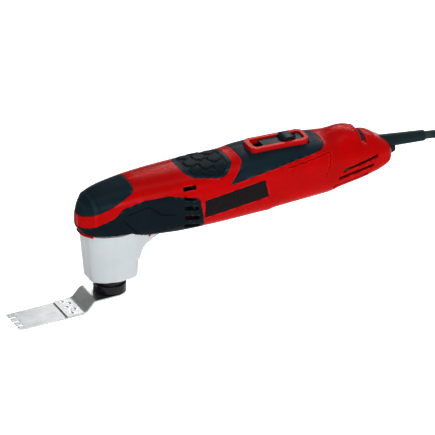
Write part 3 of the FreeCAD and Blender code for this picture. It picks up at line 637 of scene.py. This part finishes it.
def score(bm, outline, second, keep):
    """Cuts the faces along an outline drawn on (x, second) axes, near each of its edges."""
    count = len(outline)
    for i in range(count):
        a, b = Vector(outline[i]) * MM, Vector(outline[(i + 1) % count]) * MM
        if (b - a).length < 1e-5:
            continue
        low = Vector((min(a.x, b.x), min(a.y, b.y))) - Vector((1.6, 1.6)) * MM
        high = Vector((max(a.x, b.x), max(a.y, b.y))) + Vector((1.6, 1.6)) * MM
        near = []
        for face in bm.faces:
            c = face.calc_center_median()
            if low.x < c.x < high.x and low.y < c[second] < high.y and keep(c):
                near.append(face)
        if not near:
            continue
        across = Vector((-(b - a).y, (b - a).x))
        place, normal = [0.0] * 3, [0.0] * 3
        place[0], place[second] = a.x, a.y
        normal[0], normal[second] = across.x, across.y
        edges = {e for f in near for e in f.edges}
        verts = {v for f in near for v in f.verts}
        bmesh.ops.bisect_plane(bm, geom=near + list(edges) + list(verts), dist=2e-5,
                               plane_co=place, plane_no=Vector(normal).normalized())


SIDE_COVER = rounded_outline([
    (-22.0, 62.4), (-60.0, 62.8), (-60.0, 69.4), (-27.0, 69.4), (-4.0, 80.0), (2.5, 87.0), (21.0,
                                                                                            90.3),
    (43.7, 90.2), (51.0, 88.0), (71.0, 82.6), (76.8, 50.4),
    (60.0, 50.4), (40.0, 53.4), (20.0, 56.6), (0.0, 59.4)], 3.0)
NOSE_PAD = rounded_outline([
    (-60.0, 80.5), (-28.0, 80.5), (-2.0, 91.0), (6.0, 94.4), (13.5, 97.2), (16.5, 100.2),
    (17.0, 130.0), (-60.0, 130.0)], 3.0)
FRONT_PAD = rounded_outline([
    (62.0, 130.0), (62.0, 102.0), (69.0, 98.4), (93.0, 94.4), (98.0, 95.4), (109.0, 101.0),
    (109.0, 130.0)], 2.0)
FRONT_PAD_FIELD = rounded_outline([
    (66.0, 130.0), (66.0, 102.0), (71.0, 99.8), (92.0, 96.2), (96.5, 97.0), (105.0, 101.2),
    (105.0, 130.0)], 1.5)
REAR_PAD = rounded_outline([
    (117.5, 130.0), (117.5, 101.4), (101.0, 89.0), (102.0, 87.4), (134.0, 91.2), (159.0, 93.6),
    (190.0, 95.2), (197.0, 97.5), (197.0, 130.0)], 2.0)
LABEL_LINE = rounded_outline([(76.0, 62.4), (75.8, 78.9), (131.9, 84.8), (135.2, 68.4)], 1.6)
COVER_SLOTS = [rounded_outline(points, 0.9) for points in (
    [(57.3, 83.6), (57.3, 86.6), (67.0, 84.0), (67.5, 81.4)],
    [(57.3, 74.2), (57.3, 78.0), (69.5, 75.2), (69.8, 71.4)],
    [(57.3, 64.8), (57.3, 68.6), (71.0, 65.6), (71.3, 62.0)],
    [(57.3, 56.2), (57.3, 59.8), (72.2, 56.8), (72.5, 53.4)],
)]
HOUSING_SLOTS = [rounded_outline(points, 0.9) for points in (
    [(57.0, 91.2), (57.8, 94.4), (69.5, 94.0), (68.5, 90.8)],
    [(206.5, 71.4), (207.0, 74.2), (242.0, 78.0), (241.5, 75.2)],
    [(202.0, 65.2), (202.5, 68.0), (237.5, 70.8), (237.0, 68.0)],
    [(197.5, 57.8), (198.0, 60.6), (232.0, 63.6), (231.5, 60.8)],
)]
# Openings seen from above: the switch frame, the speed dial, and the head under the gear end.
SWITCH_OPENING = rounded_outline([(128.0, -10.0), (183.0, -10.0), (183.0, 10.0), (128.0, 10.0)],
                                 4.0)
DIAL_OPENING = [(229.95, -13.0), (234.6, -13.0), (234.6, 13.0), (229.95, 13.0)]
HEAD_OPENING = rounded_outline([
    (-26.0, -9.0), (-18.4, -17.4), (-7.0, -21.6), (8.0, -22.8), (24.0, -21.0), (44.0, -17.0),
    (49.0, -10.0), (49.0, 10.0), (-26.0, 10.0)], 4.0)
SIDE, PLAN = 2, 1


TOP_OPENINGS_ABOVE = 90.0     # mm: the switch and the dial come out above this height
HEAD_OPENING_BELOW = 62.0     # mm: the gear head comes out below this height


def region_of(c):
    """Which piece a spot on the outside belongs to, or None for an opening."""
    x, y, z = c.x / MM, c.y / MM, c.z / MM
    if z > TOP_OPENINGS_ABOVE and (inside_outline(SWITCH_OPENING, x, y)
                                   or inside_outline(DIAL_OPENING, x, y)):
        return None
    if z < HEAD_OPENING_BELOW and y > -30.0 and inside_outline(HEAD_OPENING, x, y):
        return None
    if inside_outline(NOSE_PAD, x, z):
        return "nose_pad"
    if inside_outline(SIDE_COVER, x, z):
        return None if any(inside_outline(s, x, z) for s in COVER_SLOTS) else "side_cover"
    if inside_outline(FRONT_PAD, x, z):
        return "front_pad_field" if inside_outline(FRONT_PAD_FIELD, x, z) else "front_pad"
    if inside_outline(REAR_PAD, x, z):
        return "rear_pad"
    if inside_outline(LABEL_LINE, x, z):
        return "label"
    if any(inside_outline(s, x, z) for s in HOUSING_SLOTS):
        return None
    return "housing"


def cut_body():
    bm = half_body_mesh()
    side_lines = [SIDE_COVER, NOSE_PAD, FRONT_PAD, FRONT_PAD_FIELD, REAR_PAD, LABEL_LINE]
    for outline in side_lines + COVER_SLOTS + HOUSING_SLOTS:
        score(bm, outline, SIDE, lambda c: True)
    for outline in (SWITCH_OPENING, DIAL_OPENING):
        score(bm, outline, PLAN, lambda c: c.z > 88.0 * MM)
    score(bm, HEAD_OPENING, PLAN, lambda c: c.z < 66.0 * MM)
    regions = {}
    for face in bm.faces:
        name = region_of(face.calc_center_median())
        if name:
            regions.setdefault(name, []).append([tuple(v.co) for v in face.verts])
    bm.free()
    return regions


def piece_mesh(faces, both):
    """A mesh of one region, joined over the middle plane when both halves belong to one piece."""
    bm = bmesh.new()
    sides = (1.0, -1.0) if both else (1.0,)
    for side in sides:
        for face in faces:
            corners = [(x, y * side, z) for x, y, z in face]
            bm.faces.new([bm.verts.new(c) for c in (corners if side > 0 else reversed(corners))])
    bmesh.ops.remove_doubles(bm, verts=bm.verts, dist=0.00009)
    bmesh.ops.dissolve_degenerate(bm, edges=bm.edges, dist=0.00002)
    bmesh.ops.recalc_face_normals(bm, faces=bm.faces)
    up = sum((f.normal.dot(f.calc_center_median() - Vector((0.1, 0.0, 0.0745))) * f.calc_area()
              for f in bm.faces))
    if up < 0.0:
        bmesh.ops.reverse_faces(bm, faces=bm.faces)
    return bm


def finish_rim(bm, rim, drop, wall):
    """Rounds the border of a skin and turns it inwards, so that it has an edge with depth."""
    bmesh.ops.inset_region(bm, faces=bm.faces, thickness=rim, depth=0.0, use_boundary=True,
                           use_even_offset=True)
    bm.normal_update()
    border = [e for e in bm.edges if len(e.link_faces) == 1]
    corners = {v for e in border for v in e.verts}
    normals = {v: v.normal.copy() for v in corners}
    for v in corners:
        v.co -= normals[v] * drop
    made = bmesh.ops.extrude_edge_only(bm, edges=border)
    moved = [v for v in made["geom"] if isinstance(v, bmesh.types.BMVert)]
    lookup = {tuple(round(c, 7) for c in v.co): normals[v] for v in corners}
    for v in moved:
        normal = lookup.get(tuple(round(c, 7) for c in v.co), Vector((0, 0, 1)))
        v.co -= normal * wall
    return bm


def sink_groove(bm, line, width, depth):
    """Presses a narrow groove into a skin along a line drawn on (x, z) in mm."""
    for first, last in zip(line, line[1:]):
        a, b = Vector(first), Vector(last)
        along_line = (b - a).normalized()
        across = Vector((-along_line.y, along_line.x))
        for shift in (-width / 2.0, 0.0, width / 2.0):
            c, d = a + across * shift, b + across * shift
            normal = Vector((across.x, 0.0, across.y))
            near = []
            for face in bm.faces:
                m = face.calc_center_median() / MM
                run = (Vector((m.x, m.z)) - c).dot(along_line)
                if -0.4 < run < (d - c).length + 0.4 and abs((Vector((m.x, m.z))
                                                              - c).dot(across)) < 1.8:
                    near.append(face)
            parts = near + list({e for f in near for e in f.edges}) + list({v for f in near
                                                                            for v in f.verts})
            bmesh.ops.bisect_plane(bm, geom=parts, dist=2e-5,
                                   plane_co=Vector((c.x, 0.0, c.y)) * MM, plane_no=normal)
    bm.normal_update()
    sunk = set()
    for first, last in zip(line, line[1:]):
        a, b = Vector(first), Vector(last)
        along_line = (b - a).normalized()
        across = Vector((-along_line.y, along_line.x))
        for v in bm.verts:
            m = Vector((v.co.x, v.co.z)) / MM - a
            if -0.05 < m.dot(along_line) < (b - a).length + 0.05 and abs(m.dot(across)) < 0.08:
                sunk.add(v)
    for v in sunk:
        v.co -= v.normal * depth


SHELL_CREASES = [
    [(152.0, 89.4), (176.0, 91.3), (196.0, 92.4), (193.4, 82.0), (189.5, 72.5)],
]
COVER_GROOVES = [
    [(1.4, 76.8), (9.0, 68.3), (19.0, 56.9)],
    [(5.0, 80.0), (15.0, 82.4), (25.6, 84.4), (36.5, 74.5)],
    [(36.5, 74.5), (50.5, 71.5)],
    [(19.0, 56.9), (36.0, 58.6), (50.5, 60.5)],
]


def mirror_mesh(obj, name):
    mesh = obj.data.copy()
    mesh.transform(Matrix.Scale(-1.0, 4, (0, 1, 0)))
    mesh.flip_normals()
    return link(name, mesh)


CUSHIONS = [
    (75.0, 0.0), (75.0, -13.5), (75.0, 13.5), (86.0, -7.0), (86.0, 7.0), (86.0, -20.5), (86.0,
                                                                                         20.5),
    (97.0, 0.0), (97.0, -13.5), (97.0, 13.5),
]
CUSHION_R = 6.0


def emboss_cushions(bm):
    """Raises low hexagonal cushions; y here runs round the body from its top middle line."""
    bmesh.ops.subdivide_edges(bm, edges=bm.edges, cuts=2, use_grid_fill=True)
    bm.normal_update()
    moves = []
    for v in bm.verts:
        x = v.co.x / MM
        round_y = math.copysign(abs(v.co.y) / MM + max(0.0, 100.5 - v.co.z / MM), v.co.y)
        lift = 0.0
        for cx, cy in CUSHIONS:
            dx, dy = abs(x - cx), abs(round_y - cy)
            reach = max(dx, dx * 0.5 + dy * 0.866)
            lift = max(lift, min(1.0, max(0.0, (CUSHION_R - reach) / 1.1)))
        moves.append((v, v.normal * lift * 0.9 * MM))
    for v, move in moves:
        v.co += move


def build_skin():
    regions = cut_body()
    install(finish_mesh("nose_grip", finish_rim(piece_mesh(regions["nose_pad"], True),
                        0.5 * MM, 0.45 * MM, 1.8 * MM)), "housing", GRIP, "grip_rubber", "nose_pad")
    rear = finish_rim(piece_mesh(regions["rear_pad"], True), 0.6 * MM, 0.5 * MM, 1.8 * MM)
    install(finish_mesh("rear_grip", rear), "housing", GRIP, "grip_rubber", "rear_grip_pad")
    front = finish_rim(piece_mesh(regions["front_pad"], True), 0.5 * MM, 0.45 * MM, 1.4 * MM)
    install(finish_mesh("front_grip", front), "housing", GRIP, "grip_rubber", "front_grip_pad")
    field = piece_mesh(regions["front_pad_field"], True)
    bmesh.ops.translate(field, vec=(0.0, 0.0, -0.0005), verts=field.verts)
    emboss_cushions(field)
    install(finish_mesh("front_grip_field", field), "housing", TREAD, "grip_rubber")
    for region, name, material, slot, nodes, rim, grooves in (
        ("side_cover", "side_cover_{}", COVER, "cover_plastic", "side_cover_{}", 0.45,
         COVER_GROOVES),
        ("housing", "shell_{}", RED, "red_plastic", "housing_{}", 0.35, SHELL_CREASES),
        ("label", "label_{}", LABEL, "label_film", "label_panel_{}", 0.3, []),
    ):
        bm = finish_rim(piece_mesh(regions[region], False), rim * MM, rim * 0.8 * MM, 1.6 * MM)
        for line in grooves:
            sink_groove(bm, line, 1.5, 0.9 * MM)
        left = finish_mesh(name.format("left_skin"), bm)
        right = mirror_mesh(left, name.format("right_skin"))
        install(left, "housing", material, slot, nodes.format("left"))
        install(right, "housing", material, slot, nodes.format("right"))


build_skin()


# ---- the white gear head --------------------------------------------------------------------

HEAD_BOTTOM, HEAD_TOP = 14.4, 60.0
HEAD_LOW = [(-20.4, 8.0), (-14.2, 13.3), (-5.9, 16.2), (7.3, 17.4), (16.8, 16.0), (22.4, 8.0),
            (23.6, 0.0)]
HEAD_HIGH = [(-24.6, 8.5), (-17.4, 16.4), (-7.0, 20.8), (8.0, 22.0), (19.0, 19.0), (25.0, 9.0),
             (26.4, 0.0)]
SPINDLE_HOLE = 10.5
WEB_LINE = [(33.0, 20.5), (37.0, 21.6), (41.0, 23.5), (44.0, 26.0), (46.5, 29.5), (48.3, 34.0),
            (49.4, 39.0),
            (50.0, 44.0), (50.3, 48.0), (70.0, 48.0)]


def outline_reach(points, angle):
    """How far a closed outline, symmetric about the X axis, lies from the spindle at an angle."""
    outline = points[::-1] + [(points[0][0], 0.0)]
    directions = np.array([math.atan2(y, x) for x, y in outline])
    reach = np.array([math.hypot(x, y) for x, y in outline])
    shift = 0.0
    for step in (-0.06, -0.03, 0.0, 0.03, 0.06):
        shift = shift + np.interp(np.abs(np.abs(angle) + step), directions, reach)
    return shift / 5.0


def head_distance(angle, reach, z):
    t = (z - HEAD_BOTTOM) / (HEAD_TOP - HEAD_BOTTOM)
    low, high = outline_reach(HEAD_LOW, angle), outline_reach(HEAD_HIGH, angle)
    drum = reach - (low + (high - low) * t)
    x, y = reach * np.cos(angle), np.abs(reach * np.sin(angle))
    heights, places = zip(*WEB_LINE)
    end = x - np.interp(z, heights, places)
    side = y - np.interp(x, [10.0, 30.0, 48.5, 60.0], [17.3, 17.3, 11.0, 6.0])
    web = np.maximum(-smooth_min(-end, -side, 2.5), 2.0 - x)
    below = max(0.0, 33.0 - z) * 3.0
    return smooth_min(drum, web + below, 4.0)


def build_head():
    bm = bmesh.new()
    steps = 180
    angles = np.linspace(-math.pi, math.pi, steps, endpoint=False)
    heights = [14.4, 14.55, 14.9, 15.4, 16.1] + list(np.arange(16.8, 62.4, 0.8))
    tuck = {14.4: 1.6, 14.55: 0.95, 14.9: 0.5, 15.4: 0.2, 16.1: 0.0}
    rows = []
    for z in heights:
        near, far = np.zeros(steps), np.full(steps, 70.0)
        for _ in range(28):
            r = (near + far) / 2.0
            inside = head_distance(angles, r, z) < 0.0
            near, far = np.where(inside, r, near), np.where(inside, far, r)
        near = near - tuck.get(z, 0.0)
        rows.append([bm.verts.new((a * math.cos(t) * MM, a * math.sin(t) * MM, z * MM)) for a,
                     t in zip(near, angles)])
    hole = []
    for radius, z in ((SPINDLE_HOLE + 0.6, 14.4), (SPINDLE_HOLE + 0.15, 14.6),
                      (SPINDLE_HOLE, 15.0), (SPINDLE_HOLE, 22.9)):
        hole.append([bm.verts.new((radius * math.cos(t) * MM, radius * math.sin(t) * MM,
                                   z * MM)) for t in angles])
    grid_faces(bm, hole[::-1] + rows, close_columns=True)
    bm.faces.new(rows[-1])
    bm.faces.new(hole[-1])
    install(finish_mesh("head_casting", bm, 50.0), "housing", WHITE, "white_enamel", "gear_head")


build_head()


# ---- the boot -------------------------------------------------------------------------------

def sweep_along(name, stations, steps=48):
    """A round piece along a line of (point, radius)."""
    bm = bmesh.new()
    first, last = Vector(stations[0][0]), Vector(stations[-1][0])
    axis = (last - first).normalized()
    side = axis.cross(Vector((0, 0, 1))).normalized()
    up = side.cross(axis).normalized()
    rows = []
    for place, radius in stations:
        row = []
        for i in range(steps):
            a = 2.0 * math.pi * i / steps
            row.append(bm.verts.new((Vector(place) + side * radius * math.cos(a) + up * radius
                                     * math.sin(a)) * MM))
        rows.append(row)
    grid_faces(bm, rows, close_columns=True)
    bm.faces.new(rows[0])
    bm.faces.new(rows[-1])
    return finish_mesh(name, bm)


def build_boot():
    """The boot: a smooth sleeve that tapers to the cord, with a rounded lip at its end."""
    root, end = Vector((246.0, 0.0, 78.0)), Vector((296.0, 0.0, 72.2))
    places = []
    steps = 60
    for i in range(steps):
        t = i / (steps - 1.0)
        lip = max(0.0, (t - 0.97) / 0.03)
        places.append((root + (end - root) * t, 6.0 - 1.3 * t - 0.9 * lip ** 2))
    boot = sweep_along("boot", places)
    install(boot, "housing", CORD, "cord_rubber", "strain_relief")


build_boot()


# ---- small pieces with softened edges ---------------------------------------------------------

def softened(node, body, material, slot, width, segments=3, shrink=(1.0, 1.0, 1.0)):
    """A piece with the outline of its CAD solid, its flat faces joined up and its edges rounded."""
    source = NODES[node]
    bm = bmesh.new()
    bm.from_mesh(source.data)
    bmesh.ops.transform(bm, matrix=source.matrix_world, verts=bm.verts)
    bmesh.ops.remove_doubles(bm, verts=bm.verts, dist=1e-6)
    middle = sum((v.co for v in bm.verts), Vector()) / len(bm.verts)
    for v in bm.verts:
        v.co = middle + (v.co - middle) * Vector(shrink)
    bmesh.ops.dissolve_limit(bm, angle_limit=math.radians(1.0), verts=bm.verts, edges=bm.edges)
    piece = finish_mesh(node + "_soft", bm, 34.0)
    bevel(piece, width, segments, 32.0)
    return install(piece, body, material, slot, node)


softened("gear_case", "housing", ALU, "cast_aluminium", 0.4 * MM, 2, (0.92, 0.90, 0.94))
softened("switch_bezel", "housing", RED, "red_plastic", 0.7 * MM)
softened("slide_switch", "slide_switch", COVER, "cover_plastic", 0.5 * MM)
softened("plug_body", "housing", BLACK, "cord_rubber", 1.6 * MM)
softened("plug_pins", "housing", PIN, "pin_metal", 0.6 * MM)
softened("cord_tie", "housing", BLACK, "black_plastic", 0.3 * MM)
softened("speed_dial", "speed_dial", BLACK, "black_plastic", 0.3 * MM)
softened("saw_plate", "output_spindle", BLADE, "blade_steel", 0.12 * MM, 2)
softened("clamp_screw", "clamp_screw", SCREW, "black_screw", 0.3 * MM)
softened("clamp_washer", "output_spindle", STEEL, "steel", 0.2 * MM)


def build_flange():
    """The black flange: a collar, a shadow groove and the seat for the blade."""
    profile = [(8.1, 2.0), (8.1, 14.0), (12.3, 14.0), (13.3, 13.0), (13.3, 9.8), (12.2, 9.4),
               (12.2, 8.6),
               (14.0, 8.2), (14.0, 1.2), (13.2, 0.1), (3.2, 0.1), (3.2, 1.6), (8.1, 1.6), (8.1,
                                                                                           2.0)]
    points = [(r * MM, z * MM) for r, z in profile]
    flange = lathe("flange", rounded_profile(points, 0.5 * MM), Matrix.Identity(4), 96)
    install(flange, "output_spindle", OXIDE, "black_gloss", "tool_flange")


WELDS = [(-40.0, 10.2), (-40.0, 0.4), (-40.0, -9.6), (-35.4, 5.3), (-35.4, -4.6)]
WELD_R = 1.5


def carrier_line():
    """The middle line of the carrier's top face, with rounded bends, as (x, z) in mm."""
    corners = [(14.0, 0.0), (-21.0, 0.0), (-28.7, -8.5), (-46.0, -8.5)]
    line = rounded_profile(corners, 2.2, 6)
    points = []
    for first, last in zip(line, line[1:]):
        a, b = Vector(first), Vector(last)
        count = max(1, int((b - a).length / 0.5))
        points += [tuple(a + (b - a) * (i / count)) for i in range(count)]
    return points + [line[-1]]


def build_carrier():
    """Bent sheet with a round root, weld dimples, and the hole for the clamp."""
    sheet = 1.2
    half = 14.0
    line = carrier_line()
    bm = bmesh.new()
    rows = []
    for index, (x, z) in enumerate(line):
        before, after = Vector(line[max(index - 1, 0)]), Vector(line[min(index + 1,
                                                                         len(line) - 1)])
        tangent = (after - before).normalized()
        down = Vector((-tangent.y, tangent.x)) if tangent.x > 0 else Vector((tangent.y,
                                                                             -tangent.x))
        down = down if down.y < 0 else -down
        wide = half if x < 0 else math.sqrt(max(half ** 2 - x ** 2, 0.05))
        row = []
        columns = 57
        for j in range(columns):
            y = wide * (1.0 - 2.0 * j / (columns - 1))
            sink = 0.0
            for wx, wy in WELDS:
                reach = math.hypot(x - wx, y - wy) / WELD_R
                if reach < 1.0:
                    sink = max(sink, 0.45 * (1.0 - reach ** 2))
                elif reach < 1.5:
                    sink = min(sink, -0.10 * math.sin(math.pi * (reach - 1.0) / 0.5))
            row.append(((x, y, z - sink), (x + down.x * sheet, y, z + down.y * sheet)))
        rows.append(row)
    top = [[bm.verts.new(Vector(a) * MM) for a, b in row] for row in rows]
    low = [[bm.verts.new(Vector(b) * MM) for a, b in row] for row in rows]
    grid_faces(bm, top)
    grid_faces(bm, low)
    rims = [(top[0], low[0]), (top[-1], low[-1])]
    rims += [([r[0] for r in top], [r[0] for r in low]),
             ([r[-1] for r in top], [r[-1] for r in low])]
    for upper, lower in rims:
        grid_faces(bm, [upper, lower])
    hole = [f for f in bm.faces if math.hypot(f.calc_center_median().x,
                                              f.calc_center_median().y) < 4.6 * MM]
    bmesh.ops.delete(bm, geom=hole, context="FACES")
    bmesh.ops.remove_doubles(bm, verts=bm.verts, dist=2e-6)
    carrier = finish_mesh("carrier", bm, 40.0)
    install(carrier, "output_spindle", BLADE, "blade_steel", "blade_carrier")


def build_guard():
    """A small bell under the boot, open to the rear."""
    profile = [(6.4, 254.0), (6.4, 259.0), (6.0, 262.0), (5.0, 264.8), (4.6, 266.4), (4.0, 266.6),
               (3.7, 266.0),
               (4.2, 263.0), (4.6, 259.0), (4.6, 254.0)]
    points = [(r * MM, (x - 254.0) * MM) for r, x in profile]
    turn = Matrix.Translation((254.0 * MM, 0.0, 69.3 * MM)) @ Matrix.Rotation(math.pi / 2.0, 4,
                                                                              "Y")
    guard = lathe("guard", rounded_profile(points, 0.4 * MM), turn, 56)
    install(guard, "housing", BLACK, "black_plastic", "cord_guard")


build_flange()
build_carrier()
build_guard()


# ---- stage and light ----------------------------------------------------------------------

def make_stage():
    bm = bmesh.new()
    side = 6.0
    corners = [bm.verts.new((sx * side, sy * side, FLOOR_Z)) for sx,
               sy in ((-1, -1), (1, -1), (1, 1), (-1, 1))]
    bm.faces.new(corners)
    floor = finish_mesh("floor", bm)
    material, tree, shader = new_material("pale_floor")
    speckle = add_noise(tree, 30.0)
    tone = add_ramp(tree, speckle.outputs["Fac"],
                    [(0.3, (0.93, 0.93, 0.93)), (0.7, (0.96, 0.96, 0.96))])
    tree.links.new(tone.outputs["Color"], shader.inputs["Base Color"])
    shader.inputs["Roughness"].default_value = 0.9
    shader.inputs["Specular IOR Level"].default_value = 0.1
    shader.inputs["Emission Color"].default_value = (1.0, 1.0, 1.0, 1.0)
    shader.inputs["Emission Strength"].default_value = 0.5
    floor.data.materials.append(material)

    world = bpy.data.worlds.new("studio")
    bpy.context.scene.world = world
    world.use_nodes = True
    background = world.node_tree.nodes["Background"]
    background.inputs["Color"].default_value = (1.0, 1.0, 1.0, 1.0)
    background.inputs["Strength"].default_value = 0.5


def area_light(name, place, target, size, power):
    data = bpy.data.lights.new(name, "AREA")
    data.shape = "RECTANGLE"
    data.size, data.size_y = size
    data.energy = power
    light = bpy.data.objects.new(name, data)
    bpy.context.scene.collection.objects.link(light)
    light.location = place
    light.rotation_mode = "QUATERNION"
    light.rotation_quaternion = (Vector(target) - Vector(place)).to_track_quat("-Z", "Y")


make_stage()
area_light("key", (-0.1, -1.5, 0.75), (0.1, 0, 0.05), (1.2, 0.5), 22.0)
area_light("top", (0.2, 0.1, 1.6), (0.12, 0, 0.07), (1.8, 0.5), 11.0)
area_light("rim", (0.9, 0.9, 0.7), (0.12, 0, 0.07), (0.9, 0.3), 8.0)
bpy.context.scene.view_settings.view_transform = "Standard"
bpy.context.scene.view_settings.gamma = 0.8

bounds_report()
